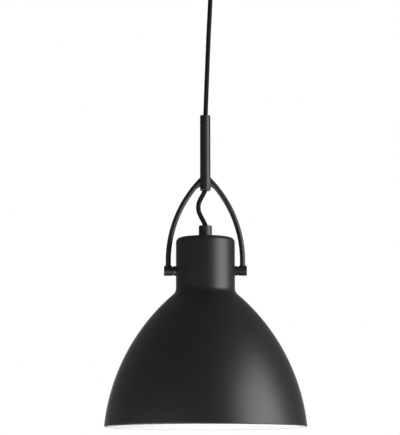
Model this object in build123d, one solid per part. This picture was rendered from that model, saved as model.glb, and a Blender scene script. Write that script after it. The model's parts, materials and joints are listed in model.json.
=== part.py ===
from build123d import *
import math
import os

# Pendant ceiling light: a dome shade on a two-armed yoke, hung by its own flex from a ceiling cup.
# Millimetres, +Z up. The origin is the middle of the bracket's face against the ceiling.

# Ceiling cup and bracket
canopy_diameter = 100.0
canopy_height = 30.0
canopy_wall = 1.2
canopy_corner_radius = 6.0
canopy_screw_diameter = 4.0
canopy_screw_drop = 9.0
bracket_width = 20.0
bracket_thickness = 2.0
bracket_gap = 0.8  # from the corners of the bracket's bent ends to the cup
bracket_end_depth = 16.0
tongue_width = 16.0  # the bracket's tongue carries the terminal block
slot_spacing = 60.0
slot_length = 14.0
slot_width = 5.0
pan_head_share = 0.9  # a pan head's radius over the diameter of its screw
wire_hole_diameter = 13.0
earth_screw_reach = 15.0

# Terminal block
pole_pitch = 10.0
block_depth = 18.0
block_height = 13.0
block_gap = 2.0  # from the bracket's edge to the block
block_screw_diameter = 3.0
tube_diameter = 5.2
tube_bore_diameter = 3.2
tube_inset = 1.0
tube_screw_diameter = 2.8
tube_screw_spacing = 9.0
tube_head_share = 0.65

# Flex and its cores
cable_diameter = 5.6
cable_drop = 207.0  # from the ceiling grip to the top of the stem
cable_stub = 4.0  # from the ceiling grip's thread to where the cores part
core_diameter = 2.0
core_offset = 1.45  # from the middle of the flex to the middle of each core
arc_share = 0.45  # the part of a run that the arc at its end may take

# Cable grips and gland, all on one pipe thread
thread_diameter = 10.0
thread_end = 0.8  # how far a thread stands past its nut
nut_across_flats = 14.0
nut_height = 3.0
grip_diameter = 16.0
grip_length = 20.0
gland_diameter = 15.8
gland_height = 14.6
grip_edge_radius = 0.8
clamp_screw_diameter = 4.0
clamp_screw_recess = 0.4
nipple_bore_diameter = 7.2
nipple_rise = 5.5  # how far the nipple stands up in the gland

# Stem and yoke
stem_diameter = 12.5
stem_wall = 1.2
stem_cap_length = 12.6
stem_tube_length = 57.4
stem_screw_diameter = 3.0
spigot_length = 8.0
hub_length = 17.3
hub_bore_diameter = 8.4
ferrule_height = 4.2
ferrule_edge_radius = 1.2
ferrule_spigot_length = 2.6
ferrule_spigot_wall = 0.8
arm_diameter = 6.3
arm_arc_radius = 140.0
arm_straight = 12.2  # from the pivot up to where the arm starts to curve
arm_root_depth = 3.6  # from the hub's top down to where the arms' middle lines would cross
arm_root_reach = 2.0  # how near to the axis each arm's rod runs inside the hub
arm_fillet_radius = 2.2
boss_diameter = 11.8
boss_inner_length = 4.8  # from the arm's middle to the boss face beside the neck
boss_outer_length = 5.1
boss_fillet_radius = 1.6
boss_edge_radius = 0.5
seam_edge_radius = 0.3

# Shade
shade_diameter = 240.0
shade_wall = 1.0
dome_height = 159.7
dome_arc_radius = 238.0
neck_diameter = 70.4
neck_height = 65.0
neck_corner_radius = 5.5
neck_fillet_radius = 10.0
rim_bead_radius = 1.3

# Pivots
pivot_drop = 39.6  # from the top of the neck down to the pivot axis
pivot_screw_diameter = 4.0
pivot_head_diameter = 7.6
pivot_head_height = 2.2
pivot_socket_across = 2.5
pivot_nut_across_flats = 7.0
pivot_nut_height = 3.2
spacer_neck_diameter = 12.0
spacer_diameter = 11.2
spacer_length = 3.3
washer_diameter = 10.0
washer_thickness = 1.0
saddle_diameter = 10.0
saddle_thickness = 3.0

# Lamp holder
holder_diameter = 40.0
holder_wall = 2.2
holder_cap_height = 24.0
holder_cap_top_diameter = 22.0
holder_cone_height = 11.0
holder_skirt_length = 30.0
holder_joint_length = 8.0
holder_edge_radius = 1.0
ledge_depth = 2.0  # from the seam of cap and skirt down to the ledge under the ceramic core
ceramic_diameter = 31.0
ceramic_height = 10.0
terminal_circle = 24.0
terminal_screw_diameter = 3.0
terminal_screw_length = 5.0
shell_diameter = 29.4
shell_wall = 0.9
shell_length = 20.0
contact_diameter = 10.0
contact_height = 2.4
contact_strip = 0.5

# Bulb
bulb_diameter = 60.0
bulb_length = 108.0
bulb_cap_length = 27.0
bulb_cap_wall = 0.8
bulb_thread_diameter = 26.4
bulb_thread_depth = 0.7
bulb_thread_turns = 5
bulb_thread_pitch = 3.6
bulb_tip_diameter = 9.2
bulb_tip_height = 1.4
bulb_insulator_height = 3.4
bulb_insulator_diameter = 19.0
bulb_collar_diameter = 27.8
bulb_collar_height = 6.0
bulb_body_length = 39.0
bulb_body_bend_radius = 20.0
bulb_wall = 1.2

# Clearances
thread_clearance = 0.1  # radial, where one thread is screwed into another
running_clearance = 0.05  # radial, in the pivots
hole_clearance = 0.2  # radial, where a piece passes a plain hole
cable_clearance = 0.4  # radial, where the flex passes a bore
seat_clearance = 0.3  # between pieces that move apart
saddle_clearance = 0.05  # between a curved seat and the neck's wall

# Radii and reaches worked out from the sizes above
cable_radius = cable_diameter / 2
cable_bore_radius = cable_radius + cable_clearance
core_radius = core_diameter / 2
thread_radius = thread_diameter / 2
stem_radius = stem_diameter / 2
spigot_radius = stem_radius - stem_wall - thread_clearance
hub_bore_radius = hub_bore_diameter / 2
canopy_radius = canopy_diameter / 2
canopy_screw_radius = canopy_screw_diameter / 2
neck_radius = neck_diameter / 2
neck_inner_radius = neck_radius - shade_wall
pivot_radius = pivot_screw_diameter / 2
boss_face = neck_radius + spacer_length + washer_thickness
arm_reach = boss_face + boss_inner_length
boss_end = arm_reach + boss_outer_length
saddle_face = neck_inner_radius - saddle_thickness
holder_radius = holder_diameter / 2
holder_inner_radius = holder_radius - holder_wall
bulb_radius = bulb_diameter / 2
block_width = 2 * pole_pitch
block_front_y = bracket_width / 2 + block_gap
block_middle_y = block_front_y + block_depth / 2
bracket_clear_radius = canopy_radius - canopy_wall - bracket_gap
bracket_reach = math.sqrt(bracket_clear_radius**2 - (bracket_width / 2) ** 2)

# Levels, from the ceiling down
block_bottom_z = -bracket_thickness - block_height
tube_z = -bracket_thickness - block_height / 2
canopy_floor_z = -canopy_height
grip_nut_z = canopy_floor_z + canopy_wall
grip_thread_z = grip_nut_z + nut_height + thread_end
tail_top_z = grip_thread_z + cable_stub
cable_exit_z = canopy_floor_z - grip_length
grip_screw_z = canopy_floor_z - grip_length / 2
stem_top_z = cable_exit_z - cable_drop
cap_seam_z = stem_top_z - stem_cap_length
stem_screw_z = stem_top_z - 0.6 * stem_cap_length
hub_top_z = cap_seam_z - stem_tube_length
hub_bottom_z = hub_top_z - hub_length
ferrule_bottom_z = hub_bottom_z - ferrule_height
arm_arc_rise = math.sqrt(arm_arc_radius**2 - (arm_arc_radius - arm_reach) ** 2)
arm_bend_z = hub_top_z - arm_root_depth - arm_arc_rise
pivot_z = arm_bend_z - arm_straight
neck_top_z = pivot_z + pivot_drop
shoulder_z = neck_top_z - neck_height
rim_z = shoulder_z - dome_height
gland_top_z = neck_top_z + gland_height
nipple_top_z = neck_top_z + nipple_rise
gland_screw_z = (nipple_top_z + gland_top_z) / 2
neck_nut_z = neck_top_z - shade_wall - nut_height
cap_nut_z = neck_nut_z - holder_wall - nut_height
nipple_end_z = cap_nut_z - thread_end
holder_seam_z = neck_nut_z - holder_cap_height
holder_bottom_z = holder_seam_z - holder_skirt_length
ledge_z = holder_seam_z - ledge_depth
ceramic_top_z = ledge_z + ceramic_height
bulb_tip_z = ledge_z - contact_height - seat_clearance
bulb_insulator_z = bulb_tip_z - bulb_tip_height
bulb_cap_z = bulb_insulator_z - bulb_insulator_height
bulb_cap_end_z = bulb_tip_z - bulb_cap_length
bulb_globe_z = bulb_cap_end_z - bulb_body_length
bulb_bottom_z = bulb_tip_z - bulb_length
bulb_middle_z = bulb_bottom_z + bulb_radius

# The two free stretches of flex, as X and the height above the pivot axis
suspension_route = [
    (0.0, 395.0),
    (0.8, 385.0),
    (4.2, 371.0),
    (6.9, 352.0),
    (6.2, 330.0),
    (3.75, 284.0),
    (0.45, 209.0),
    (0.0, 188.0),
]
lead_route = [
    (0.7, 106.3),
    (0.745, 101.3),
    (-0.35, 96.4),
    (-3.3, 90.6),
    (-6.95, 84.2),
    (-8.3, 79.15),
    (-8.42, 73.9),
    (-7.1, 68.85),
    (-3.85, 62.7),
    (0.5, 54.0),
    (1.57, 49.5),
    (1.57, 45.4),
]

upright = (Align.CENTER, Align.CENTER, Align.MIN)
hanging = (Align.CENTER, Align.CENTER, Align.MAX)


def turned(points, rounds=None):
    # a solid of revolution about Z from (radius, height) corners; rounds gives a radius by corner number
    face = make_face(Polyline(*points, close=True))
    for number, radius in (rounds or {}).items():
        corner = min(face.vertices(), key=lambda v: math.dist((v.X, v.Y), points[number]))
        face = fillet(corner, radius)
    return revolve(Plane.XZ * face, Axis.Z)


def sleeve(outer_radius, inner_radius, bottom, top, rounds=None):
    # corners are numbered from the outer top one: outer top, outer bottom, inner bottom, inner top
    points = [(outer_radius, top), (outer_radius, bottom), (inner_radius, bottom), (inner_radius, top)]
    return turned(points, rounds)


def rod(radius, bottom, top):
    return Pos(0, 0, bottom) * Cylinder(radius, top - bottom, align=upright)


def along_x(shape, x, z):
    # turns a piece made on +Z to point away from the axis, along +X or -X
    return Location((x, 0, z), (0, math.copysign(90, x), 0)) * shape


def along_y(shape, x, y, z):
    # turns a piece made on +Z to point along +Y
    return Location((x, y, z), (-90, 0, 0)) * shape


def upside_down(shape, x, y, z):
    return Location((x, y, z), (180, 0, 0)) * shape


def hex_nut(across_flats, height, bore_radius):
    flat = across_flats / 2
    corner = across_flats / math.sqrt(3)
    bevel = (corner - flat) / 2
    blank = extrude(RegularPolygon(flat, 6, major_radius=False), height)
    side = [(corner, bevel), (corner, height - bevel)]
    crown = turned([(0, 0), (flat, 0), *side, (flat, height), (0, height)])
    return (blank & crown) - rod(bore_radius, 0, height)


def screw_blank(radius, length, head_radius, head_height):
    # the head's underside is at 0 and the shank points down
    points = [
        (0, head_height),
        (head_radius, head_height),
        (head_radius, 0),
        (radius, 0),
        (radius, -length),
        (0, -length),
    ]
    return turned(points, {1: head_height / 2})


def socket_screw(radius, length, head_radius, head_height, socket_across):
    socket = extrude(RegularPolygon(socket_across / 2, 6, major_radius=False), head_height)
    return screw_blank(radius, length, head_radius, head_height) - Pos(0, 0, head_height / 3) * socket


def slotted_screw(diameter, length, head_share=pan_head_share):
    head_radius = head_share * diameter
    head_height = diameter / 2
    slot = Box(2 * head_radius, head_radius / 3, head_height, align=upright)
    return screw_blank(diameter / 2, length, head_radius, head_height) - Pos(0, 0, head_height / 2) * slot


def grub_screw(radius, length):
    # a headless clamp screw from 0 up to its slotted end
    slot = Box(2 * radius, radius / 3, length / 4, align=hanging)
    return rod(radius, 0, length) - Pos(0, 0, length) * slot


def corner_radii(points):
    # the largest arc for which each corner's two runs leave room
    radii = []
    for before, corner, after in zip(points, points[1:], points[2:]):
        arriving = Vector(*corner) - Vector(*before)
        leaving = Vector(*after) - Vector(*corner)
        half_turn = math.radians(arriving.get_angle(leaving)) / 2
        shorter = min(arriving.length, leaving.length)
        radii.append(arc_share * shorter / math.tan(half_turn))
    return radii


def flex(name, points, radius):
    # a round tube along straight runs joined by tangent arcs
    radii = corner_radii(points)
    path = FilletPolyline(*points, radius=radii)
    tube = sweep(Plane(origin=path @ 0, z_dir=path % 0) * Circle(radius), path=path)
    share = tube.volume / (math.pi * radius**2 * path.length)
    print(f"{name}: length {path.length:.1f}, volume over section times length {share:.4f}")
    print(f"{name}: bend radii in diameters", [round(bend / (2 * radius), 1) for bend in radii])
    return tube


def route_points(route):
    return [(x, 0, pivot_z + height) for x, height in route]


def ceiling_bracket():
    plate = Box(2 * bracket_reach, bracket_width, bracket_thickness, align=hanging)
    tongue_length = block_gap + block_depth
    tongue = Box(tongue_width, tongue_length, bracket_thickness, align=hanging)
    body = plate + Pos(0, bracket_width / 2 + tongue_length / 2, 0) * tongue
    end_middle = bracket_reach - bracket_thickness / 2
    tapped_radius = canopy_screw_radius + thread_clearance
    for side in (1, -1):
        end = Box(bracket_thickness, bracket_width, bracket_end_depth, align=hanging)
        body += Pos(side * end_middle, 0, 0) * end
        tapped_hole = rod(tapped_radius, -bracket_thickness, bracket_thickness)
        body -= along_x(tapped_hole, side * end_middle, -canopy_screw_drop)
        slot = extrude(SlotOverall(slot_length, slot_width), -bracket_thickness)
        body -= Pos(side * slot_spacing / 2, 0, 0) * slot
    body -= rod(wire_hole_diameter / 2, -bracket_thickness, 0)
    body -= Pos(earth_screw_reach, 0, 0) * rod(tapped_radius, -bracket_thickness, 0)
    block_screw_hole = rod(block_screw_diameter / 2 + thread_clearance, -bracket_thickness, 0)
    return body - Pos(0, block_middle_y, 0) * block_screw_hole


def canopy_cup():
    hole = thread_radius + hole_clearance
    inner = canopy_radius - canopy_wall
    points = [
        (hole, canopy_floor_z),
        (canopy_radius, canopy_floor_z),
        (canopy_radius, 0),
        (inner, 0),
        (inner, grip_nut_z),
        (hole, grip_nut_z),
    ]
    cup = turned(points, {1: canopy_corner_radius, 4: canopy_corner_radius - canopy_wall})
    screw_hole = rod(canopy_screw_radius + hole_clearance, -2 * canopy_wall, canopy_wall)
    for side in (1, -1):
        cup -= along_x(screw_hole, side * canopy_radius, -canopy_screw_drop)
    return cup


def canopy_screws():
    length = canopy_radius - bracket_reach + 2 * bracket_thickness
    screw = slotted_screw(canopy_screw_diameter, length)
    return Compound([along_x(screw, side * canopy_radius, -canopy_screw_drop) for side in (1, -1)])


def earth_screw():
    grip_gap = core_diameter + thread_clearance
    screw = slotted_screw(canopy_screw_diameter, grip_gap + bracket_thickness)
    return upside_down(screw, earth_screw_reach, 0, -bracket_thickness - grip_gap)


def pole_places():
    return [-pole_pitch / 2, pole_pitch / 2]


def tube_screw_levels():
    return [block_middle_y - tube_screw_spacing / 2, block_middle_y + tube_screw_spacing / 2]


def tube_screw_places():
    return [(x, y) for x in pole_places() for y in tube_screw_levels()]


def terminal_block():
    middle_z = -bracket_thickness - block_height / 2
    body = Pos(0, block_middle_y, middle_z) * Box(block_width, block_depth, block_height)
    body = fillet(body.edges().filter_by(Axis.Z), tube_inset)
    channel = rod(tube_diameter / 2 + hole_clearance, 0, block_depth)
    for x in pole_places():
        body -= along_y(channel, x, block_front_y, tube_z)
    shaft = rod(tube_head_share * tube_screw_diameter + hole_clearance, block_bottom_z, tube_z)
    for x, y in tube_screw_places():
        body -= Pos(x, y, 0) * shaft
    screw_hole = rod(block_screw_diameter / 2 + hole_clearance, block_bottom_z, -bracket_thickness)
    return body - Pos(0, block_middle_y, 0) * screw_hole


def terminal_tubes():
    tube = sleeve(tube_diameter / 2, tube_bore_diameter / 2, tube_inset, block_depth - tube_inset)
    tapped_hole = rod(tube_screw_diameter / 2 + thread_clearance, block_bottom_z, tube_z)
    tubes = []
    for x in pole_places():
        placed = along_y(tube, x, block_front_y, tube_z)
        for y in tube_screw_levels():
            placed -= Pos(x, y, 0) * tapped_hole
        tubes.append(placed)
    return Compound(tubes)


def terminal_screws():
    tip_z = tube_z - core_radius - thread_clearance
    head_z = tube_z - tube_diameter / 2 - thread_end
    screw = slotted_screw(tube_screw_diameter, tip_z - head_z, tube_head_share)
    return Compound([upside_down(screw, x, y, head_z) for x, y in tube_screw_places()])


def block_screw():
    screw = slotted_screw(block_screw_diameter, block_height + bracket_thickness)
    return upside_down(screw, 0, block_middle_y, block_bottom_z)


def ceiling_grip():
    grip_radius = grip_diameter / 2
    points = [
        (cable_bore_radius, grip_thread_z),
        (thread_radius, grip_thread_z),
        (thread_radius, canopy_floor_z),
        (grip_radius, canopy_floor_z),
        (grip_radius, cable_exit_z),
        (cable_bore_radius, cable_exit_z),
    ]
    body = turned(points, {4: grip_edge_radius, 5: grip_edge_radius})
    tapped_hole = rod(clamp_screw_diameter / 2 + thread_clearance, 0, grip_radius)
    return body - along_y(tapped_hole, 0, 0, grip_screw_z)


def clamp_screw(outer_radius, z):
    # presses on the flex from the back
    length = outer_radius - clamp_screw_recess - cable_bore_radius
    return along_y(grub_screw(clamp_screw_diameter / 2, length), 0, cable_bore_radius, z)


def cable_tail():
    return rod(cable_radius, cable_exit_z + cable_radius + seat_clearance, tail_top_z)


def ceiling_core(name, side):
    # from the end of the flex up and back into one pole of the terminal block
    pole_x = side * pole_pitch / 2
    points = [
        (side * core_offset, 0.0, tail_top_z),
        (side * core_offset, 0.0, tail_top_z + 5.0),
        (side * 3.0, 3.2, tube_z - 2.2),
        (pole_x - side * 0.3, block_front_y - 3.5, tube_z - 0.15),
        (pole_x, block_front_y + 2.0, tube_z),
        (pole_x, block_front_y + 6.5, tube_z),
    ]
    return flex(name, points, core_radius)


def ceiling_earth_core():
    beside_screw_y = -canopy_screw_radius - core_radius - thread_clearance
    under_bracket_z = -bracket_thickness - core_radius - thread_clearance / 2
    points = [
        (0.0, -core_offset, tail_top_z),
        (0.0, -core_offset, tail_top_z + 5.0),
        (3.0, -2.5, under_bracket_z - 6.0),
        (7.6, beside_screw_y + 0.2, under_bracket_z - 1.6),
        (earth_screw_reach - 2.5, beside_screw_y, under_bracket_z),
        (earth_screw_reach + 2.5, beside_screw_y, under_bracket_z),
    ]
    return flex("ceiling_earth_core", points, core_radius)


def suspension_cable():
    # ends in half balls, on which it turns in the ceiling grip and in the stem cap
    points = route_points(suspension_route)
    points[0] = (0, 0, cable_exit_z)
    points[-1] = (0, 0, stem_top_z)
    tube = flex("suspension_cable", points, cable_radius)
    for end in (points[0], points[-1]):
        tube += Pos(*end) * Sphere(cable_radius)
    return tube


def stem_cap():
    points = [
        (cable_bore_radius, stem_top_z),
        (stem_radius, stem_top_z),
        (stem_radius, cap_seam_z),
        (spigot_radius, cap_seam_z),
        (spigot_radius, cap_seam_z - spigot_length),
        (cable_bore_radius, cap_seam_z - spigot_length),
    ]
    body = turned(points, {0: grip_edge_radius, 1: grip_edge_radius, 2: seam_edge_radius})
    tapped_hole = rod(stem_screw_diameter / 2 + thread_clearance, 0, stem_radius)
    return body - along_y(tapped_hole, 0, 0, stem_screw_z)


def stem_cap_screw():
    length = stem_radius - clamp_screw_recess - cable_bore_radius
    return along_y(grub_screw(stem_screw_diameter / 2, length), 0, cable_bore_radius, stem_screw_z)


def stem_tube():
    return sleeve(stem_radius, stem_radius - stem_wall, hub_top_z, cap_seam_z, {0: seam_edge_radius})


def stem_cable():
    # straight inside the stem, from the cap to where the lamp lead starts
    top = Vector(0, 0, stem_top_z - cable_radius - seat_clearance)
    end = Vector(*route_points(lead_route)[0])
    return Plane(origin=top, z_dir=end - top) * Cylinder(cable_radius, (end - top).length, align=upright)


def arm_point(angle):
    # on the arm's middle line; 0 is where the arm leaves its straight foot
    x = arm_reach - arm_arc_radius + arm_arc_radius * math.cos(angle)
    return (x, 0, arm_bend_z + arm_arc_radius * math.sin(angle))


def yoke_arm():
    root_angle = math.acos((arm_root_reach - arm_reach + arm_arc_radius) / arm_arc_radius)
    foot = Line((arm_reach, 0, pivot_z), arm_point(0))
    arch = ThreePointArc(arm_point(0), arm_point(root_angle / 2), arm_point(root_angle))
    return sweep(Plane.XY.offset(pivot_z) * Pos(arm_reach, 0) * Circle(arm_diameter / 2), path=foot + arch)


def yoke_boss():
    length = boss_end - boss_face
    points = [(0, 0), (boss_diameter / 2, 0), (boss_diameter / 2, length), (0, length)]
    return along_x(turned(points, {1: boss_edge_radius, 2: boss_edge_radius}), boss_face, pivot_z)


def joint_seams(body):
    # the edges where one round piece runs into another
    return body.edges().filter_by(lambda edge: edge.geom_type not in (GeomType.LINE, GeomType.CIRCLE))


def yoke():
    half = yoke_arm() + yoke_boss()
    # the hub's blank runs on below, so that the crotches are rounded before the hub is cut to length
    blank_end_z = hub_bottom_z - 4 * arm_fillet_radius
    body = rod(stem_radius, blank_end_z, hub_top_z) + half + mirror(half, about=Plane.YZ)
    near_hub = joint_seams(body).filter_by(lambda edge: abs(edge.center().X) < arm_reach / 2)
    body = fillet(near_hub, arm_fillet_radius)
    near_pivot = joint_seams(body).filter_by(lambda edge: abs(edge.center().Z - pivot_z) < boss_diameter)
    body = fillet(near_pivot, boss_fillet_radius)
    body -= rod(stem_radius + arm_fillet_radius, blank_end_z, hub_bottom_z)
    body += rod(spigot_radius, hub_top_z, hub_top_z + spigot_length)
    body += rod(hub_bore_radius + ferrule_spigot_wall, hub_bottom_z - ferrule_spigot_length, hub_bottom_z)
    body -= rod(hub_bore_radius, hub_bottom_z - ferrule_spigot_length, hub_top_z + spigot_length)
    pivot_bore = rod(pivot_radius + running_clearance, 0, boss_end)
    counterbore = rod(pivot_head_diameter / 2 + seat_clearance, -pivot_head_height, 0)
    for side in (1, -1):
        body -= along_x(pivot_bore, side * boss_face / 2, pivot_z)
        body -= along_x(counterbore, side * boss_end, pivot_z)
    return body


def lead_ferrule():
    recess_radius = hub_bore_radius + ferrule_spigot_wall + thread_clearance
    recess_z = hub_bottom_z - ferrule_spigot_length - thread_clearance
    points = [
        (recess_radius, hub_bottom_z),
        (stem_radius, hub_bottom_z),
        (stem_radius, ferrule_bottom_z),
        (hub_bore_radius, ferrule_bottom_z),
        (hub_bore_radius, recess_z),
        (recess_radius, recess_z),
    ]
    return turned(points, {2: ferrule_edge_radius})


def dome_centre():
    # of the circle through the rim and the foot of the neck
    rim = Vector(shade_diameter / 2, rim_z)
    foot = Vector(neck_radius, shoulder_z)
    chord = foot - rim
    distance = math.sqrt(dome_arc_radius**2 - (chord.length / 2) ** 2)
    inward = Vector(-chord.Y, chord.X) / chord.length
    return (rim + foot) / 2 + inward * distance


def on_circle(centre, radius, towards):
    direction = (Vector(*towards) - centre).normalized()
    return centre + direction * radius


def shade_line(inset):
    # one side of the sheet, from the axis over the neck and the dome to the rim bead
    dome = dome_centre()
    reach = dome_arc_radius + neck_fillet_radius
    hollow_x = neck_radius + neck_fillet_radius
    hollow = Vector(hollow_x, dome.Y + math.sqrt(reach**2 - (hollow_x - dome.X) ** 2))
    corner = Vector(neck_radius - neck_corner_radius, neck_top_z - neck_corner_radius)
    side = neck_radius - inset
    top = neck_top_z - inset
    corner_middle = on_circle(corner, neck_corner_radius - inset, corner + Vector(1, 1))
    hollow_end = on_circle(hollow, neck_fillet_radius + inset, dome)
    hollow_middle_aim = (Vector(side, hollow.Y) + hollow_end) / 2
    hollow_middle = on_circle(hollow, neck_fillet_radius + inset, hollow_middle_aim)
    dome_radius = dome_arc_radius - inset
    end_z = rim_z + rim_bead_radius
    dome_end = Vector(dome.X + math.sqrt(dome_radius**2 - (end_z - dome.Y) ** 2), end_z)
    dome_middle = on_circle(dome, dome_radius, (hollow_end + dome_end) / 2)
    edges = [
        Line((0, top), (corner.X, top)),
        ThreePointArc((corner.X, top), corner_middle, (side, corner.Y)),
        Line((side, corner.Y), (side, hollow.Y)),
        ThreePointArc((side, hollow.Y), hollow_middle, hollow_end),
        ThreePointArc(hollow_end, dome_middle, dome_end),
    ]
    return edges, dome_end


def neck():
    # a spun cup, whose edge stands on the dome's at the top of the hollow
    outside = shade_line(0)[0][:3]
    inside = shade_line(shade_wall)[0][:3]
    axis_edge = Line((0, neck_top_z), (0, neck_top_z - shade_wall))
    section = make_face([*outside, *inside, axis_edge, Line(outside[2] @ 1, inside[2] @ 1)])
    body = revolve(Plane.XZ * section, Axis.Z)
    body -= rod(thread_radius + hole_clearance, neck_top_z - 2 * shade_wall, neck_top_z)
    pivot_hole = rod(pivot_radius + hole_clearance, -2 * shade_wall, shade_wall)
    for side in (1, -1):
        body -= along_x(pivot_hole, side * neck_radius, pivot_z)
    return body


def shade():
    # the spun dome, with a small bead rolled inwards at the rim
    outside, outside_end = shade_line(0)
    inside, inside_end = shade_line(shade_wall)
    seam = Line(outside[2] @ 1, inside[2] @ 1)
    section = make_face([*outside[3:], *inside[3:], seam, Line(outside_end, inside_end)])
    bead_middle = on_circle(dome_centre(), dome_arc_radius - rim_bead_radius, outside_end)
    section += Pos(bead_middle.X, bead_middle.Y) * Circle(rim_bead_radius)
    return revolve(Plane.XZ * section, Axis.Z)


def cable_gland():
    gland_radius = gland_diameter / 2
    edges = {0: grip_edge_radius, 3: grip_edge_radius}
    body = sleeve(gland_radius, thread_radius + thread_clearance, neck_top_z, gland_top_z, edges)
    tapped_hole = rod(clamp_screw_diameter / 2 + thread_clearance, 0, gland_radius)
    return body - along_y(tapped_hole, 0, 0, gland_screw_z)


def pivot_screws():
    head_x = boss_end - pivot_head_height
    length = head_x - saddle_face + pivot_nut_height + thread_end
    head_radius = pivot_head_diameter / 2
    screw = socket_screw(pivot_radius, length, head_radius, pivot_head_height, pivot_socket_across)
    return Compound([along_x(screw, side * head_x, pivot_z) for side in (1, -1)])


def pivot_nuts():
    nut = hex_nut(pivot_nut_across_flats, pivot_nut_height, pivot_radius + thread_clearance)
    return Compound([along_x(nut, side * (saddle_face - pivot_nut_height), pivot_z) for side in (1, -1)])


def friction_washer(side):
    washer = sleeve(washer_diameter / 2, pivot_radius + hole_clearance, 0, washer_thickness)
    return along_x(washer, side * (boss_face - washer_thickness), pivot_z)


def pivot_spacer(side):
    # a cone that widens towards the neck; its inner end is hollowed to sit on the round neck
    bore = pivot_radius + hole_clearance
    inside = -spacer_neck_diameter
    points = [
        (spacer_diameter / 2, 0),
        (spacer_neck_diameter / 2, -spacer_length),
        (spacer_neck_diameter / 2, inside),
        (bore, inside),
        (bore, 0),
    ]
    placed = along_x(turned(points), side * (neck_radius + spacer_length), pivot_z)
    reach = spacer_neck_diameter
    return placed - rod(neck_radius + saddle_clearance, pivot_z - reach, pivot_z + reach)


def saddle_washer(side):
    # its outer end is rounded to sit inside the neck
    bar = sleeve(saddle_diameter / 2, pivot_radius + hole_clearance, 0, saddle_diameter)
    placed = along_x(bar, side * saddle_face, pivot_z)
    reach = saddle_diameter
    return placed & rod(neck_inner_radius - saddle_clearance, pivot_z - reach, pivot_z + reach)


def threaded_nipple():
    return sleeve(thread_radius, nipple_bore_diameter / 2, nipple_end_z, nipple_top_z)


def pipe_nut(z):
    return Pos(0, 0, z) * hex_nut(nut_across_flats, nut_height, thread_radius + thread_clearance)


def holder_cap():
    hole = thread_radius + thread_clearance
    cap_top_radius = holder_cap_top_diameter / 2
    cone_z = neck_nut_z - holder_cone_height
    points = [
        (hole, neck_nut_z),
        (cap_top_radius, neck_nut_z),
        (holder_radius, cone_z),
        (holder_radius, holder_seam_z),
        (holder_inner_radius, holder_seam_z),
        (holder_inner_radius, cone_z - holder_wall / 2),
        (cap_top_radius - holder_wall / 2, neck_nut_z - holder_wall),
        (hole, neck_nut_z - holder_wall),
    ]
    return turned(points, {1: holder_edge_radius, 2: holder_edge_radius})


def holder_skirt():
    joint_radius = holder_inner_radius - thread_clearance
    joint_z = holder_seam_z + holder_joint_length
    ceramic_bore = ceramic_diameter / 2 + thread_clearance
    shell_bore = shell_diameter / 2 + thread_clearance
    points = [
        (joint_radius, joint_z),
        (joint_radius, holder_seam_z),
        (holder_radius, holder_seam_z),
        (holder_radius, holder_bottom_z),
        (shell_bore, holder_bottom_z),
        (shell_bore, ledge_z),
        (ceramic_bore, ledge_z),
        (ceramic_bore, joint_z),
    ]
    return turned(points, {3: holder_edge_radius, 4: holder_edge_radius})


def terminal_places():
    reach = terminal_circle / 2
    return [(0, reach), (0, -reach), (reach, 0)]


def ceramic_core():
    body = rod(ceramic_diameter / 2, ledge_z, ceramic_top_z)
    hole_end_z = ceramic_top_z - terminal_screw_length - thread_end
    tapped_hole = rod(terminal_screw_diameter / 2 + thread_clearance, hole_end_z, ceramic_top_z)
    for x, y in terminal_places():
        body -= Pos(x, y, 0) * tapped_hole
    return body


def holder_terminal_screws():
    screw = slotted_screw(terminal_screw_diameter, terminal_screw_length)
    return Compound([Pos(x, y, ceramic_top_z) * screw for x, y in terminal_places()])


def lamp_core(name, places):
    # from the end of the lead down the nipple to the top of the ceramic core
    lead_end_z = route_points(lead_route)[-1][2]
    levels = [lead_end_z, lead_end_z - 8.5, nipple_end_z - 0.6, ceramic_top_z + 4.8, ceramic_top_z + 0.6]
    return flex(name, [(x, y, z) for (x, y), z in zip(places, levels)], core_radius)


def lamp_pole_core(name, side):
    places = [(0.6, 1.3), (0.55, 1.35), (0.5, 1.8), (0.3, 5.2), (0.2, 7.5)]
    return lamp_core(name, [(x, side * y) for x, y in places])


def lamp_earth_core():
    return lamp_core("lamp_earth_core", [(2.2, 0.0), (2.15, 0.05), (2.2, 0.1), (5.4, 0.05), (7.6, 0.0)])


def screw_shell():
    return sleeve(shell_diameter / 2, shell_diameter / 2 - shell_wall, ledge_z - shell_length, ledge_z)


def centre_contact():
    contact_radius = contact_diameter / 2
    points = [
        (0, ledge_z),
        (contact_radius, ledge_z),
        (contact_radius, ledge_z - contact_strip),
        (contact_radius / 2, ledge_z - contact_height),
        (0, ledge_z - contact_height),
    ]
    return turned(points)


def bulb_contact():
    tip_radius = bulb_tip_diameter / 2
    foot_z = bulb_insulator_z
    points = [(0, bulb_tip_z), (tip_radius, bulb_tip_z), (tip_radius, foot_z), (0, foot_z)]
    return turned(points, {1: bulb_tip_height / 2})


def bulb_insulator():
    points = [
        (0, bulb_insulator_z),
        (bulb_tip_diameter / 2, bulb_insulator_z),
        (bulb_insulator_diameter / 2, bulb_cap_z),
        (0, bulb_cap_z),
    ]
    return turned(points)


def bulb_cap():
    # a turned stand-in for the rolled thread: one ridge for each turn
    crest = bulb_thread_diameter / 2
    root = crest - bulb_thread_depth
    bore = root - bulb_cap_wall
    thread_z = bulb_cap_end_z + bulb_thread_turns * bulb_thread_pitch
    points = [(0, bulb_cap_z), (bulb_insulator_diameter / 2, bulb_cap_z), (root, thread_z)]
    for turn in range(bulb_thread_turns):
        ridge_z = thread_z - turn * bulb_thread_pitch
        points.append((crest, ridge_z - 0.35 * bulb_thread_pitch))
        points.append((crest, ridge_z - 0.65 * bulb_thread_pitch))
        points.append((root, ridge_z - bulb_thread_pitch))
    points += [(bore, bulb_cap_end_z), (bore, thread_z), (0, thread_z)]
    return turned(points)


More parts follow.
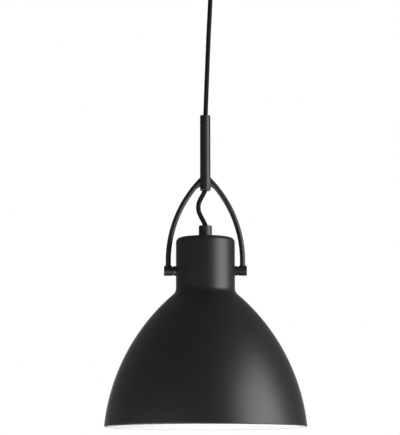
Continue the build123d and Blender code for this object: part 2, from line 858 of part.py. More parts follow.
def bulb_joint_radius():
    # where the body meets the round globe
    return math.sqrt(bulb_radius**2 - (bulb_globe_z - bulb_middle_z) ** 2)


def bulb_body():
    collar = bulb_collar_diameter / 2
    collar_z = bulb_cap_end_z - bulb_collar_height
    joint = bulb_joint_radius()
    points = [
        (collar, bulb_cap_end_z),
        (collar, collar_z),
        (joint, bulb_globe_z),
        (joint - bulb_wall, bulb_globe_z),
        (collar - bulb_wall, collar_z),
        (collar - bulb_wall, bulb_cap_end_z),
    ]
    return turned(points, {1: bulb_body_bend_radius, 4: bulb_body_bend_radius + bulb_wall})


def bulb_globe():
    ball = Sphere(bulb_radius) - Sphere(bulb_radius - bulb_wall)
    return Pos(0, 0, bulb_middle_z) * ball & rod(bulb_radius, bulb_bottom_z, bulb_globe_z)


nodes = {
    "ceiling_bracket": ceiling_bracket(),
    "canopy_cup": canopy_cup(),
    "canopy_screws": canopy_screws(),
    "earth_screw": earth_screw(),
    "terminal_block": terminal_block(),
    "terminal_tubes": terminal_tubes(),
    "terminal_screws": terminal_screws(),
    "block_screw": block_screw(),
    "ceiling_grip": ceiling_grip(),
    "ceiling_grip_nut": pipe_nut(grip_nut_z),
    "ceiling_grip_screw": clamp_screw(grip_diameter / 2, grip_screw_z),
    "cable_tail": cable_tail(),
    "ceiling_live_core": ceiling_core("ceiling_live_core", -1),
    "ceiling_neutral_core": ceiling_core("ceiling_neutral_core", 1),
    "ceiling_earth_core": ceiling_earth_core(),
    "suspension_cable": suspension_cable(),
    "stem_cap": stem_cap(),
    "stem_cap_screw": stem_cap_screw(),
    "stem_tube": stem_tube(),
    "stem_cable": stem_cable(),
    "yoke": yoke(),
    "lead_ferrule": lead_ferrule(),
    "lamp_lead": flex("lamp_lead", route_points(lead_route), cable_radius),
    "neck": neck(),
    "shade": shade(),
    "cable_gland": cable_gland(),
    "gland_screw": clamp_screw(gland_diameter / 2, gland_screw_z),
    "threaded_nipple": threaded_nipple(),
    "neck_nut": pipe_nut(neck_nut_z),
    "pivot_screws": pivot_screws(),
    "pivot_nuts": pivot_nuts(),
    "holder_cap": holder_cap(),
    "holder_cap_nut": pipe_nut(cap_nut_z),
    "holder_skirt": holder_skirt(),
    "ceramic_core": ceramic_core(),
    "holder_terminal_screws": holder_terminal_screws(),
    "lamp_live_core": lamp_pole_core("lamp_live_core", 1),
    "lamp_neutral_core": lamp_pole_core("lamp_neutral_core", -1),
    "lamp_earth_core": lamp_earth_core(),
    "screw_shell": screw_shell(),
    "centre_contact": centre_contact(),
    "bulb_globe": bulb_globe(),
    "bulb_body": bulb_body(),
    "bulb_cap": bulb_cap(),
    "bulb_insulator": bulb_insulator(),
    "bulb_contact": bulb_contact(),
}
for side, label in ((-1, "left"), (1, "right")):
    nodes[f"friction_washer_{label}"] = friction_washer(side)
    nodes[f"pivot_spacer_{label}"] = pivot_spacer(side)
    nodes[f"saddle_washer_{label}"] = saddle_washer(side)

os.makedirs("parts", exist_ok=True)
for name, shape in nodes.items():
    export_step(shape, f"parts/{name}.step")
print(len(nodes), "nodes, pivot axis at", round(pivot_z, 3), "rim at", round(rim_z, 3))
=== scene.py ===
import bmesh
import bpy
import json
import math
from mathutils import Matrix, Vector


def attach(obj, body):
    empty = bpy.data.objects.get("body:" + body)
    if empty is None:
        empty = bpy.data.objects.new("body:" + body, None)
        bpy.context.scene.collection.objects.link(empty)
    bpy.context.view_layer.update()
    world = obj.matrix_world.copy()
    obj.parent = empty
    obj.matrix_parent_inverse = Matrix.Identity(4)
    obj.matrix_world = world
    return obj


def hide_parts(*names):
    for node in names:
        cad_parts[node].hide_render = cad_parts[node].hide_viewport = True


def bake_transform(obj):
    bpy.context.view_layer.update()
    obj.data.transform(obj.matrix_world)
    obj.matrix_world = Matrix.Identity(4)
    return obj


# Pendant ceiling light: the looks, in metres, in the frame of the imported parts
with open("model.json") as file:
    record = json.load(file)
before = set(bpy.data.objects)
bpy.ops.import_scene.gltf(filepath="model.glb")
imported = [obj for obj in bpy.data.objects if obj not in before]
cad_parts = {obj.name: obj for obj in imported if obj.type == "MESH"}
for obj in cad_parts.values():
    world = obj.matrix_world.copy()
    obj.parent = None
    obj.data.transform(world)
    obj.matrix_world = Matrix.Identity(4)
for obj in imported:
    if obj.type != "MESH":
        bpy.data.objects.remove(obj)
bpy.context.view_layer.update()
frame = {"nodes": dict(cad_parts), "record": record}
nodes = frame["nodes"]
scene = bpy.context.scene
print("frame loaded:", len(nodes), "nodes")

cameraSetup = {
    "place": (0.0, -2.4555, -0.7048),
    "tiltUp": 7.518,  # degrees
    "turnLeft": 0.149,
    "roll": -0.07,
    "lens": 171.35,
    "sensor": 36.0,
}


def makeCamera():
    data = bpy.data.cameras.new("photoCamera")
    data.lens = cameraSetup["lens"]
    data.sensor_width = cameraSetup["sensor"]
    camera = bpy.data.objects.new("photoCamera", data)
    turn = Matrix.Rotation(math.radians(cameraSetup["turnLeft"]), 4, "Z")
    tilt = Matrix.Rotation(math.radians(90 + cameraSetup["tiltUp"]), 4, "X")
    roll = Matrix.Rotation(math.radians(cameraSetup["roll"]), 4, "Z")
    camera.matrix_world = Matrix.Translation(cameraSetup["place"]) @ turn @ tilt @ roll
    scene.collection.objects.link(camera)
    scene.camera = camera


makeCamera()
scene.view_settings.view_transform = "Standard"
print("camera placed")


def fill(made, values):
    # sets a shader node's inputs, from sockets or plain values
    for name, value in values.items():
        if isinstance(value, Sock):
            made.id_data.links.new(value.out, made.inputs[name])
        else:
            made.inputs[name].default_value = value


class Sock:
    # a shader socket that can stand in sums
    def __init__(self, tree, out):
        self.tree = tree
        self.out = out

    def node(self, kind, settings=None, links=None, give=0):
        made = self.tree.nodes.new(kind)
        for name, value in (settings or {}).items():
            setattr(made, name, value)
        fill(made, links or {})
        return Sock(self.tree, made.outputs[give])

    def sum(self, operation, first, second):
        return self.node("ShaderNodeMath", {"operation": operation}, {0: first, 1: second})

    def __add__(self, other):
        return self.sum("ADD", self, other)

    def __radd__(self, other):
        return self.sum("ADD", other, self)

    def __sub__(self, other):
        return self.sum("SUBTRACT", self, other)

    def __rsub__(self, other):
        return self.sum("SUBTRACT", other, self)

    def __mul__(self, other):
        return self.sum("MULTIPLY", self, other)

    def __rmul__(self, other):
        return self.sum("MULTIPLY", other, self)

    def __gt__(self, other):
        return self.sum("GREATER_THAN", self, other)


def newFinish(name):
    material = bpy.data.materials.new(name)
    material.use_nodes = True
    tree = material.node_tree
    place = Sock(tree, tree.nodes.new("ShaderNodeTexCoord").outputs["Object"])
    return material, tree.nodes["Principled BSDF"], place


def noise(place, scale, detail=2.0):
    return place.node("ShaderNodeTexNoise", {}, {"Vector": place, "Scale": scale, "Detail": detail})


def between(share, first, second):
    # a colour between two, each a socket or three numbers
    first, second = (end if isinstance(end, Sock) else (*end, 1) for end in (first, second))
    return share.node("ShaderNodeMix", {"data_type": "RGBA"}, {0: share, 6: first, 7: second}, 2)


def bump(height, distance, strength):
    return height.node("ShaderNodeBump", {}, {"Height": height, "Distance": distance, "Strength": strength})


def grainy(name, look):
    # a slow cloud changes the colour, and a fine grain the roughness and the bump
    material, surface, place = newFinish(name)
    cloud = noise(place, look["cloudScale"])
    grain = noise(place, look["grainScale"], look["grainDetail"])
    fill(surface, {
        "Base Color": between(cloud, look["dark"], look["light"]),
        "Roughness": look["roughness"] + look["grainRoughness"] * grain,
        "Normal": bump(grain, look["grainDepth"], look["grainStrength"]),
        **look["inputs"],
    })
    return material


# In each look, roughness is the least of it, which the grain, stain, cloud or fleck adds to
coatLook = {
    "dark": (0.0046, 0.0047, 0.0066),
    "light": (0.0058, 0.0059, 0.0079),
    "cloudScale": 26.0,
    "grainScale": 1500.0,  # a fine powder-coat texture, about 0.7 mm
    "grainDetail": 3.0,
    "grainDepth": 0.00004,
    "grainStrength": 0.12,
    "roughness": 0.39,
    "grainRoughness": 0.06,
    "inputs": {"IOR": 1.5},
}
glandPaintedFill = 3.2  # the gland's coat is painted paler than the shade's, as painted fill light standing in for the shade that the neck's roof casts on it
glandPaintedFillLook = {**coatLook, **{key: [glandPaintedFill * part for part in coatLook[key]] for key in ("dark", "light")}}

insideLook = {
    "dark": (0.79, 0.79, 0.79),
    "light": (0.83, 0.83, 0.83),
    "cloudScale": 15.0,
    "grainScale": 420.0,
    "grainDetail": 1.0,
    "grainDepth": 0.00006,
    "grainStrength": 0.25,
    "roughness": 0.42,
    "grainRoughness": 0.1,
    "inputs": {},
}

# dull plastic sheath of the flex, a little uneven along its length
sheathLook = {
    "dark": (0.0034, 0.0034, 0.0037),
    "light": (0.0052, 0.0052, 0.0056),
    "cloudScale": 60.0,
    "grainScale": 2200.0,
    "grainDetail": 2.0,
    "grainDepth": 0.00003,
    "grainStrength": 0.2,
    "roughness": 0.58,
    "grainRoughness": 0.1,
    "inputs": {"Specular IOR Level": 0.14},
}

opalLook = {
    "dark": (0.72, 0.716, 0.7),
    "light": (0.77, 0.766, 0.75),
    "cloudScale": 30.0,
    "grainScale": 1600.0,
    "grainDetail": 1.0,
    "grainDepth": 0.00001,
    "grainStrength": 0.3,
    "roughness": 0.3,
    "grainRoughness": 0.08,
    "inputs": {"Subsurface Weight": 0.15, "Subsurface Radius": (0.004, 0.0038, 0.0034)},
}

# moulded plastic with a fine spark texture
mouldedLook = {
    "cloudScale": 45.0,
    "grainScale": 1300.0,
    "grainDetail": 3.0,
    "grainDepth": 0.00003,
    "grainStrength": 0.35,
    "grainRoughness": 0.1,
    "inputs": {},
}


def moulded(name, dark, light, roughness, **changes):
    return grainy(name, {**mouldedLook, "dark": dark, "light": light, "roughness": roughness, **changes})


plateLook = {
    "dark": (0.5, 0.51, 0.53),
    "light": (0.7, 0.71, 0.73),
    "spangleScale": 520.0,
    "spangleShare": 0.4,
    "stainScale": 240.0,
    "stainShare": 0.6,
    "stainDetail": 4.0,
    "stainDepth": 0.00002,
    "stainStrength": 0.3,
    "roughness": 0.26,
    "stainRoughness": 0.16,
}


def platedSteel(name):
    look = plateLook
    material, surface, place = newFinish(name)
    spangle = place.node("ShaderNodeTexVoronoi", {}, {"Vector": place, "Scale": look["spangleScale"]}, "Color")
    tone = spangle.node("ShaderNodeSeparateColor", {}, {0: spangle})
    stain = noise(place, look["stainScale"], look["stainDetail"])
    share = look["stainShare"] * stain + look["spangleShare"] * tone
    fill(surface, {
        "Base Color": between(share, look["dark"], look["light"]),
        "Roughness": look["roughness"] + look["stainRoughness"] * stain,
        "Metallic": 1.0,
        "Normal": bump(stain, look["stainDepth"], look["stainStrength"]),
    })
    return material


brassLook = {
    "dark": (0.56, 0.38, 0.13),
    "light": (0.78, 0.58, 0.26),
    "stainScale": 180.0,
    "stainDetail": 4.0,
    "lineScale": 1800.0,
    "lineDetail": 1.0,
    "lineDepth": 0.00001,
    "lineStrength": 0.3,
    "roughness": 0.22,
    "stainRoughness": 0.2,
}


def bareBrass(name):
    look = brassLook
    material, surface, place = newFinish(name)
    stain = noise(place, look["stainScale"], look["stainDetail"])
    lines = noise(place, look["lineScale"], look["lineDetail"])
    fill(surface, {
        "Base Color": between(stain, look["dark"], look["light"]),
        "Roughness": look["roughness"] + look["stainRoughness"] * stain,
        "Metallic": 1.0,
        "Normal": bump(lines, look["lineDepth"], look["lineStrength"]),
    })
    return material


earthLook = {
    "green": (0.05, 0.24, 0.03),
    "yellow": (0.68, 0.52, 0.03),
    "yellowFrom": 0.55,  # share of the length
    "cloudScale": 45.0,
    "roughness": 0.37,
    "cloudRoughness": 0.1,
}


def earthCore(name):
    # green, and yellow towards its far end
    look = earthLook
    material, surface, place = newFinish(name)
    cloud = noise(place, look["cloudScale"])
    unrolled = place.node("ShaderNodeUVMap", {"uv_map": "UVMap"})
    along = unrolled.node("ShaderNodeSeparateXYZ", {}, {0: unrolled}, "X")
    fill(surface, {
        "Base Color": between(along > look["yellowFrom"], look["green"], look["yellow"]),
        "Roughness": look["roughness"] + look["cloudRoughness"] * cloud,
    })
    return material


ceramicLook = {
    "dark": (0.8, 0.775, 0.73),
    "light": (0.86, 0.84, 0.8),
    "cloudScale": 70.0,
    "fleck": (0.55, 0.5, 0.44),
    "fleckScale": 900.0,
    "fleckDetail": 2.0,
    "fleckFrom": 0.7,
    "fleckShare": 0.5,
    "fleckDepth": 0.00005,
    "fleckStrength": 0.4,
    "roughness": 0.55,
    "fleckRoughness": 0.2,
}


def whiteCeramic(name):
    look = ceramicLook
    material, surface, place = newFinish(name)
    fleck = noise(place, look["fleckScale"], look["fleckDetail"])
    tone = between(noise(place, look["cloudScale"]), look["dark"], look["light"])
    fill(surface, {
        "Base Color": between((fleck > look["fleckFrom"]) * look["fleckShare"], tone, look["fleck"]),
        "Roughness": look["roughness"] + look["fleckRoughness"] * fleck,
        "Normal": bump(fleck, look["fleckDepth"], look["fleckStrength"]),
    })
    return material


finishes = {
    "black_paint": grainy("blackCoat", coatLook),
    "black_flex": grainy("flexSheath", sheathLook),
    "black_steel": moulded("blackenedSteel", (0.012, 0.012, 0.013), (0.02, 0.02, 0.021), 0.31, grainDepth=0.00001),
    "zinc_steel": platedSteel("zincPlate"),
    "brass": bareBrass("bareBrass"),
    "white_block": moulded("blockPlastic", (0.76, 0.76, 0.74), (0.82, 0.82, 0.8), 0.4),
    "black_nylon": moulded("blackNylon", (0.014, 0.014, 0.014), (0.022, 0.022, 0.022), 0.45),
    "dark_fibre": moulded(
        "washerFibre", (0.025, 0.024, 0.023), (0.045, 0.043, 0.041), 0.65, grainDepth=0.00006, grainScale=700.0
    ),
    "black_holder": moulded("holderPlastic", (0.012, 0.012, 0.012), (0.018, 0.018, 0.018), 0.25),
    "holder_ceramic": whiteCeramic("holderCeramic"),
    "brown_core": moulded("brownCore", (0.11, 0.04, 0.018), (0.16, 0.062, 0.028), 0.37),
    "blue_core": moulded("blueCore", (0.02, 0.12, 0.38), (0.035, 0.17, 0.48), 0.37),
    "green_core": earthCore("earthCore"),
    "opal_globe": grainy("opalGlobe", opalLook),
    "white_bulb": moulded("bulbPlastic", (0.7, 0.7, 0.69), (0.75, 0.75, 0.74), 0.3),
    "bulb_metal": platedSteel("bulbMetal"),
    "black_glass": moulded("blackGlass", (0.01, 0.01, 0.012), (0.016, 0.016, 0.018), 0.1),
}
finishes["shade_paint"] = finishes["black_paint"]
insideWhite = grainy("insideWhite", insideLook)
for part in frame["record"]["subparts"]:
    meshMaterials = nodes[part["node"]].data.materials
    if len(meshMaterials) == 0:
        meshMaterials.append(None)
    for holder in nodes[part["node"]].material_slots:
        holder.material = finishes[part["material_slot"]]
# the gland gets a paler copy of the shade's coat: painted fill light, not a different black
nodes["cable_gland"].material_slots[0].material = grainy("glandCoatPaintedFill", glandPaintedFillLook)
print("finishes made:", len(finishes))


pieceSetup = {"sharpAngle": 40.0, "weld": 1e-7}


def addPiece(name, mesh, finishList, sharpAngle=pieceSetup["sharpAngle"]):
    for finish in finishList:
        mesh.materials.append(finish)
    mesh.shade_smooth()
    mesh.set_sharp_from_angle(angle=math.radians(sharpAngle))
    piece = bpy.data.objects.new(name, mesh)
    scene.collection.objects.link(piece)
    return piece


def meshOf(name, bm):
    bmesh.ops.remove_doubles(bm, verts=bm.verts, dist=pieceSetup["weld"])
    bmesh.ops.recalc_face_normals(bm, faces=bm.faces)
    mesh = bpy.data.meshes.new(name)
    bm.to_mesh(mesh)
    bm.free()
    return mesh


# Cords: the routes repeat the part's own points, as X and the height above the tilt axis
tiltAxis = -0.444984
cordSetup = {
    "radius": 0.0028,
    "coreRadius": 0.001,
    "order": 3,
    "resolution": 16,
    "roundness": 7,
    "domeSteps": 6,
    "domeReach": 0.999,  # each ring stops just short of the next
    "domeInset": 0.985,  # leaves a small flat tip
}
suspensionRoute = [
    (0.0, 0.394984),
    (0.0008, 0.385),
    (0.0042, 0.371),
    (0.0069, 0.352),
    (0.0065, 0.330),
    (0.00405, 0.284),
    (0.00125, 0.212),
    (0.0004, 0.187984),
]
leadRoute = [
    (0.0007, 0.1063),
    (0.000745, 0.1013),
    (-0.00035, 0.0964),
    (-0.0033, 0.0906),
    (-0.00695, 0.0842),
    (-0.0083, 0.07915),
    (-0.00842, 0.0739),
    (-0.0071, 0.06885),
    (-0.00385, 0.0627),
    (0.0005, 0.054),
    (0.00157, 0.0495),
    (0.00157, 0.0454),
]


def routeCurve(name, points):
    data = bpy.data.curves.new(name, "CURVE")
    data.dimensions = "3D"
    spline = data.splines.new("NURBS")
    spline.points.add(len(points) - 1)
    for place, point in zip(spline.points, points):
        place.co = (*point, 1)
    spline.order_u = cordSetup["order"]
    spline.use_endpoint_u = True
    spline.resolution_u = cordSetup["resolution"]
    return bpy.data.objects.new(name, data)


def closeEnds(mesh, radius, roundEnded):
    # a flat face on each end of a tube, swollen to a half ball where asked
    bm = bmesh.new()
    bm.from_mesh(mesh)
    openEdges = [edge for edge in bm.edges if edge.is_boundary]
    ends = bmesh.ops.holes_fill(bm, edges=openEdges)["faces"]
    bmesh.ops.recalc_face_normals(bm, faces=bm.faces)
    steps = cordSetup["domeSteps"] if roundEnded else 0
    for end in ends:
        for step in range(steps):
            first = 0.5 * math.pi * step / steps
            second = 0.5 * math.pi * (step + cordSetup["domeReach"]) / steps
            bmesh.ops.inset_individual(
                bm,
                faces=[end],
                thickness=radius * (math.cos(first) - math.cos(second)) * cordSetup["domeInset"],
                depth=radius * (math.sin(second) - math.sin(first)),
            )
    bm.to_mesh(mesh)
    bm.free()


def tubeAlong(name, points, radius, roundEnded=False):
    # the tube's mesh, and the points of the line that it follows
    curve = routeCurve(name, points)
    line = bpy.data.meshes.new_from_object(curve)
    path = [tuple(vertex.co) for vertex in line.vertices]
    curve.data.bevel_depth = radius
    curve.data.bevel_resolution = cordSetup["roundness"]
    mesh = bpy.data.meshes.new_from_object(curve)
    bpy.data.objects.remove(curve)
    closeEnds(mesh, radius, roundEnded)
    mesh.materials.clear()
    return mesh, path


def pathLength(path):
    return sum(math.dist(first, second) for first, second in zip(path, path[1:]))


def makeSuspension():
    points = [(x, 0, tiltAxis + height) for x, height in suspensionRoute]
    mesh, path = tubeAlong("suspensionFlex", points, cordSetup["radius"], True)
    flex = addPiece("suspensionFlex", mesh, [finishes["black_flex"]])
    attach(flex, "cable")
    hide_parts("suspension_cable")
    print("suspension flex:", round(pathLength(path), 4))


def makeLead():
    points = [(x, 0, tiltAxis + height) for x, height in leadRoute]
    mesh, path = tubeAlong("lampLead", points, cordSetup["radius"])
    lead = addPiece("lampLead", mesh, [finishes["black_flex"]])
    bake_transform(lead)
    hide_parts("lamp_lead")
    print("lamp lead:", round(pathLength(path), 4))


makeSuspension()
makeLead()

# Short runs inside the fittings: the tail in the ceiling grip, the run in the stem and the six cores
shortRuns = {
    "cableTail": {
        "node": "cable_tail",
        "body": "ceiling",
        "slot": "black_flex",
        "points": [(0, 0, -0.0469), (0, 0, -0.034), (0, 0, -0.021)],
    },
    "stemRun": {
        "node": "stem_cable",
        "body": "pendant",
        "slot": "black_flex",
        "points": [(0, 0, -0.2601), (0.00035, 0, -0.2994), (0.0007, 0, -0.338684)],
    },
    "ceilingLive": {
        "node": "ceiling_live_core",
        "body": "ceiling",
        "slot": "brown_core",
        "points": [
            (-0.00145, 0.0, -0.021),
            (-0.00145, 0.0, -0.016),
            (-0.003, 0.0032, -0.0107),
            (-0.0047, 0.0085, -0.00865),
            (-0.005, 0.014, -0.0085),
            (-0.005, 0.0185, -0.0085),
        ],
    },
    "ceilingNeutral": {
        "node": "ceiling_neutral_core",
        "body": "ceiling",
        "slot": "blue_core",
        "points": [
            (0.00145, 0.0, -0.021),
            (0.00145, 0.0, -0.016),
            (0.003, 0.0032, -0.0107),
            (0.0047, 0.0085, -0.00865),
            (0.005, 0.014, -0.0085),
            (0.005, 0.0185, -0.0085),
        ],
    },
    "ceilingEarth": {
        "node": "ceiling_earth_core",
        "body": "ceiling",
        "slot": "green_core",
        "points": [
            (0.0, -0.00145, -0.021),
            (0.0, -0.00145, -0.016),
            (0.003, -0.0025, -0.00905),
            (0.0076, -0.0029, -0.00465),
            (0.0125, -0.0031, -0.00305),
            (0.0175, -0.0031, -0.00305),
        ],
    },
    "lampLive": {
        "node": "lamp_live_core",
        "body": "shade",
        "slot": "brown_core",
        "points": [
            (0.0006, 0.0013, -0.399584),
            (0.00055, 0.00135, -0.408084),
            (0.0005, 0.0018, -0.415984),
            (0.0003, 0.0052, -0.420584),
            (0.0002, 0.0075, -0.424784),
        ],
    },
    "lampNeutral": {
        "node": "lamp_neutral_core",
        "body": "shade",
        "slot": "blue_core",
        "points": [
            (0.0006, -0.0013, -0.399584),
            (0.00055, -0.00135, -0.408084),
            (0.0005, -0.0018, -0.415984),
            (0.0003, -0.0052, -0.420584),
            (0.0002, -0.0075, -0.424784),
        ],
    },
    "lampEarth": {
        "node": "lamp_earth_core",
        "body": "shade",
        "slot": "green_core",
        "points": [
            (0.0022, 0.0, -0.399584),
            (0.00215, 0.00005, -0.408084),
            (0.0022, 0.0001, -0.415984),
            (0.0054, 0.00005, -0.420584),
            (0.0076, 0.0, -0.424784),
        ],
    },
}


def makeShortRuns():
    for name, run in shortRuns.items():
        radius = cordSetup["radius"] if run["slot"] == "black_flex" else cordSetup["coreRadius"]
        mesh, path = tubeAlong(name, run["points"], radius)
        piece = addPiece(name, mesh, [finishes[run["slot"]]])
        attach(piece, run["body"])
        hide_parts(run["node"])
    print("short runs:", len(shortRuns))


makeShortRuns()

shadeShape = {
    "rimRadius": 0.12,
    "neckRadius": 0.0352,
    "neckTop": -0.405384,
    "foot": -0.470384,
    "rim": -0.630084,
    "domeArc": 0.238,
    "corner": 0.0055,
    "hollow": 0.01,
    "wall": 0.001,
    "bead": 0.0013,
    "beadSlope": 0.008,  # above the rim, where the bead has run out into the wall
    "beadTurn": 1.15,  # half turns
    "hole": 0.0052,
    "turnSteps": 192,
    "domeSteps": 48,
    "beadSteps": 36,
    "cornerSteps": 10,
    "sharpAngle": 60.0,
    "wallFacing": 0.62,  # how squarely a white face looks inwards, or down from the roof
    "roofFacing": 0.7,
}


def lineTo(bm, vertex, x, z):
    drawn = bmesh.ops.extrude_vert_indiv(bm, verts=[vertex])["verts"][0]
    drawn.co = (x, 0, z)
    return drawn


def arcRound(bm, vertex, centre, angle, steps):
    # positive turns from +Z towards +X
    spun = bmesh.ops.spin(
        bm, geom=[vertex], cent=(centre[0], 0, centre[1]), axis=(0, 1, 0), dvec=(0, 0, 0), angle=angle, steps=steps
    )
    return [part for part in spun["geom_last"] if isinstance(part, bmesh.types.BMVert)][0]


def turnRound(bm, steps):
    bmesh.ops.spin(
        bm,
        geom=list(bm.verts) + list(bm.edges),
        cent=(0, 0, 0),
        axis=(0, 0, 1),
        dvec=(0, 0, 0),
        angle=2 * math.pi,
        steps=steps,
        use_merge=True,
    )


def heading(centre, point):
    # the angle from +Z towards +X at which the point lies from the centre
    return math.atan2(point[0] - centre[0], point[1] - centre[1])


def makeShade():
    size = shadeShape
    rimPoint = Vector((size["rimRadius"], size["rim"]))
    footPoint = Vector((size["neckRadius"], size["foot"]))
    chord = footPoint - rimPoint
    inward = Vector((-chord.y, chord.x)).normalized()
    dome = (rimPoint + footPoint) / 2 + inward * math.sqrt(size["domeArc"] ** 2 - (chord.length / 2) ** 2)
    hollowX = size["neckRadius"] + size["hollow"]
    hollowReach = size["domeArc"] + size["hollow"]
    hollow = Vector((hollowX, dome.y + math.sqrt(hollowReach**2 - (hollowX - dome.x) ** 2)))
    corner = (size["neckRadius"] - size["corner"], size["neckTop"] - size["corner"])
    endZ = size["rim"] + size["bead"]
    domeEnd = (dome.x + math.sqrt(size["domeArc"] ** 2 - (endZ - dome.y) ** 2), endZ)
    domeTurn = heading(dome, domeEnd) - heading(dome, hollow)
    hollowTurn = math.pi / 2 - heading(dome, hollow)
    beadRadius = size["domeArc"] - size["bead"]
    bead = (
        dome.x + beadRadius * math.sin(heading(dome, domeEnd)),
        dome.y + beadRadius * math.cos(heading(dome, domeEnd)),
    )
    innerRadius = size["domeArc"] - size["wall"]
    slopeEnd = size["rim"] + size["beadSlope"]

    bm = bmesh.new()
    start = bm.verts.new((size["hole"], 0, size["neckTop"]))
    pen = lineTo(bm, start, corner[0], size["neckTop"])
    pen = arcRound(bm, pen, corner, math.pi / 2, size["cornerSteps"])
    pen = lineTo(bm, pen, size["neckRadius"], hollow.y)
    pen = arcRound(bm, pen, hollow, -hollowTurn, size["cornerSteps"])
    pen = arcRound(bm, pen, dome, domeTurn, size["domeSteps"])
    pen = arcRound(bm, pen, bead, size["beadTurn"] * math.pi, size["beadSteps"])
    # back up the inner side of the sheet
    pen = lineTo(bm, pen, dome.x + math.sqrt(innerRadius**2 - (slopeEnd - dome.y) ** 2), slopeEnd)
    innerTurn = heading(dome, (pen.co.x, pen.co.z)) - heading(dome, hollow)
    pen = arcRound(bm, pen, dome, -innerTurn, size["domeSteps"])
    pen = arcRound(bm, pen, hollow, hollowTurn, size["cornerSteps"])
    pen = lineTo(bm, pen, size["neckRadius"] - size["wall"], corner[1])
    pen = arcRound(bm, pen, corner, -math.pi / 2, size["cornerSteps"])
    pen = lineTo(bm, pen, size["hole"], size["neckTop"] - size["wall"])
    bm.edges.new((pen, start))
    turnRound(bm, size["turnSteps"])
    mesh = meshOf("shadeShell", bm)
    # black outside and round the bead, white on what faces the bulb
    for face in mesh.polygons:
        outward = Vector((face.center.x, face.center.y, 0)).normalized()
        underRoof = face.normal.z < -size["roofFacing"] and face.center.z > size["foot"]
        inside = face.normal.dot(outward) < -size["wallFacing"]
        face.material_index = 1 if inside or underRoof else 0
    shell = addPiece("shadeShell", mesh, [finishes["black_paint"], insideWhite], size["sharpAngle"])
    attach(shell, "shade")
    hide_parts("neck", "shade")
    print("shade shell:", len(mesh.polygons), "faces")


makeShade()

capShape = {
    "root": 0.0125,
    "crest": 0.0132,
    "pitch": 0.0036,
    "turns": 5,
    "turnSteps": 96,
    "profileSteps": 12,
    "tipRadius": 0.0095,
    "top": -0.442884,
    "threadTop": -0.447084,
    "end": -0.465084,
    "weld": 1e-6,
    "levelSlack": 1e-5,
    "sharpAngle": 30.0,
}


def makeBulbCap():
    # a rolled thread: one pitch of its wave, wound down past both ends and cut level there
    size = capShape
    bm = bmesh.new()
    middle = (size["crest"] + size["root"]) / 2
    swing = (size["crest"] - size["root"]) / 2
    top = size["threadTop"] + size["pitch"]
    pen = bm.verts.new((size["root"], 0, top))
    for step in range(1, size["profileSteps"] + 1):
        share = step / size["profileSteps"]
        pen = lineTo(bm, pen, middle - swing * math.cos(2 * math.pi * share), top - size["pitch"] * share)
    turns = size["turns"] + 1
    bmesh.ops.spin(
        bm,
        geom=list(bm.verts) + list(bm.edges),
        cent=(0, 0, 0),
        axis=(0, 0, 1),
        dvec=(0, 0, -size["pitch"] / size["turnSteps"]),
        angle=2 * math.pi * turns,
        steps=size["turnSteps"] * turns,
    )
    bmesh.ops.remove_doubles(bm, verts=bm.verts, dist=size["weld"])
    for height, upward in ((size["threadTop"], 1), (size["end"], -1)):
        bmesh.ops.bisect_plane(
            bm,
            geom=list(bm.verts) + list(bm.edges) + list(bm.faces),
            plane_co=(0, 0, height),
            plane_no=(0, 0, upward),
            clear_outer=True,
        )
    topLevel = size["threadTop"] - size["levelSlack"]
    rim = [edge for edge in bm.edges if edge.is_boundary and edge.verts[0].co.z > topLevel]
    raised = bmesh.ops.extrude_edge_only(bm, edges=rim)["geom"]
    for part in raised:
        if isinstance(part, bmesh.types.BMVert):
            aside = Vector((part.co.x, part.co.y, 0)).normalized() * size["tipRadius"]
            part.co = (aside.x, aside.y, size["top"])
    bmesh.ops.holes_fill(bm, edges=[edge for edge in bm.edges if edge.is_boundary])
    mesh = meshOf("bulbCap", bm)
    cap = addPiece("bulbCap", mesh, [finishes["bulb_metal"]], size["sharpAngle"])
    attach(cap, "bulb")
    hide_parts("bulb_cap")
    print("bulb cap:", len(mesh.polygons), "faces")


makeBulbCap()

# gloss: what reflections see of the world, by the direction's share of depth or height
stageSetup = {
    "floorHeight": -2.4,
    "floorHalf": 8.0,
    "floorColour": (0.82, 0.82, 0.82, 1),
    "floorLift": 0.56,  # the floor's own share of white in the picture
    "edgeLift": 0.04,  # a little more far out, so that its edge is lost in the white
    "edgeRange": (3.2, 7.0),
    "ambient": 0.5,
    "frontGloss": 0.05,
    "backGloss": 0.2,
    "backRange": (0.1, 0.75),
    "upperGloss": 0.17,
    "upperRange": (0.1, 0.55),
    "backdropGloss": 1.0,
    "backdropRange": (0.86, 0.99),
    "lampTint": (0.97, 0.975, 1.0),
}


def smoothRise(share, limits):
    # from 0 at the first limit to 1 at the second
    low, high = limits
    return share.node("ShaderNodeMapRange", {"interpolation_type": "SMOOTHSTEP"}, {0: share, 1: low, 2: high})


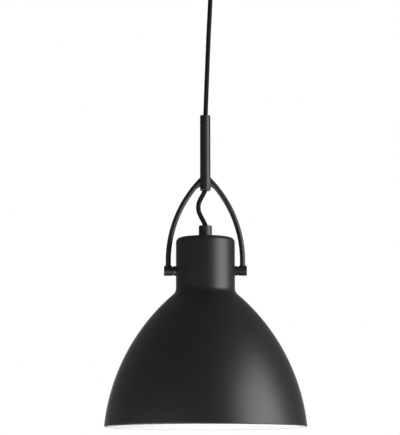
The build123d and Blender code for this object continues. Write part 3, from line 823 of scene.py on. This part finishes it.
def makeFloor():
    bm = bmesh.new()
    bmesh.ops.create_grid(bm, x_segments=1, y_segments=1, size=stageSetup["floorHalf"])
    bmesh.ops.translate(bm, vec=(0, 0, stageSetup["floorHeight"]), verts=bm.verts)
    mesh = bpy.data.meshes.new("paleFloor")
    bm.to_mesh(mesh)
    bm.free()
    material = bpy.data.materials.new("paleFloor")
    material.use_nodes = True
    tree = material.node_tree
    tree.nodes.remove(tree.nodes["Principled BSDF"])
    ray = tree.nodes.new("ShaderNodeLightPath")
    seen = Sock(tree, ray.outputs["Is Camera Ray"])
    for kind in ("Is Glossy Ray", "Is Transmission Ray"):
        seen = seen.sum("MAXIMUM", seen, Sock(tree, ray.outputs[kind]))
    place = Sock(tree, tree.nodes.new("ShaderNodeTexCoord").outputs["Object"])
    away = place.node("ShaderNodeVectorMath", {"operation": "LENGTH"}, {0: place}, "Value")
    away = smoothRise(away, stageSetup["edgeRange"])
    matt = seen.node("ShaderNodeBsdfDiffuse", {}, {"Color": stageSetup["floorColour"]})
    strength = (stageSetup["floorLift"] + stageSetup["edgeLift"] * away) * seen
    lift = seen.node("ShaderNodeEmission", {}, {"Strength": strength})
    both = seen.node("ShaderNodeAddShader", {}, {0: matt, 1: lift})
    under = seen.node("ShaderNodeNewGeometry", {}, {}, "Backfacing")  # clear when seen from below
    oneSided = seen.node("ShaderNodeMixShader", {}, {0: under, 1: both, 2: seen.node("ShaderNodeBsdfTransparent")})
    tree.links.new(oneSided.out, tree.nodes["Material Output"].inputs["Surface"])
    floor = bpy.data.objects.new("paleFloor", mesh)
    mesh.materials.append(material)
    scene.collection.objects.link(floor)


def makeWorld():
    # white behind for the camera, a bright back wall in reflections, plain light for the rest
    world = bpy.data.worlds.new("studio")
    scene.world = world
    world.use_nodes = True
    tree = world.node_tree
    ray = tree.nodes.new("ShaderNodeLightPath")
    seen = Sock(tree, ray.outputs["Is Camera Ray"])
    glossy = Sock(tree, ray.outputs["Is Glossy Ray"])
    clear = Sock(tree, ray.outputs["Is Transmission Ray"])
    way = Sock(tree, tree.nodes.new("ShaderNodeTexCoord").outputs["Generated"])
    depth = way.node("ShaderNodeSeparateXYZ", {}, {0: way}, "Y")
    height = way.node("ShaderNodeSeparateXYZ", {}, {0: way}, "Z")
    behind = smoothRise(depth, stageSetup["backRange"])
    above = smoothRise(height, stageSetup["upperRange"])
    backdrop = smoothRise(depth, stageSetup["backdropRange"])
    front = stageSetup["frontGloss"]
    gloss = front + (stageSetup["backGloss"] - front) * behind
    gloss = gloss + (stageSetup["upperGloss"] - front) * above * (1 - behind)
    gloss = gloss + (stageSetup["backdropGloss"] - gloss) * backdrop
    plain = stageSetup["ambient"] + (gloss - stageSetup["ambient"]) * glossy
    strength = plain + (1 - plain) * (seen + clear)
    background = tree.nodes["Background"]
    background.inputs["Color"].default_value = (1, 1, 1, 1)
    tree.links.new(strength.out, background.inputs["Strength"])


lamps = {
    "softboxRight": {
        "place": (1.48, -0.6, -0.42),
        "aim": (0, 0, -0.52),
        "size": (1.4, 1.88),
        "roll": 17.0,
        "power": 46.0,
    },
    "fillLow": {
        "place": (-0.36, -0.3, -0.87),
        "aim": (-0.08, -0.03, -0.63),
        "size": (0.7, 0.38),
        "roll": 0.0,
        "power": 3.8,
    },
}


def makeLamps():
    for name, lamp in lamps.items():
        data = bpy.data.lights.new(name, "AREA")
        data.shape = "RECTANGLE"
        data.size, data.size_y = lamp["size"]
        data.energy = lamp["power"]
        data.color = stageSetup["lampTint"]
        light = bpy.data.objects.new(name, data)
        aim = Vector(lamp["aim"]) - Vector(lamp["place"])
        turn = aim.to_track_quat("-Z", "Y").to_matrix().to_4x4()
        roll = Matrix.Rotation(math.radians(lamp["roll"]), 4, "Z")
        light.matrix_world = Matrix.Translation(lamp["place"]) @ turn @ roll
        light.visible_camera = False
        scene.collection.objects.link(light)


makeFloor()
makeWorld()
makeLamps()
print("stage lit")
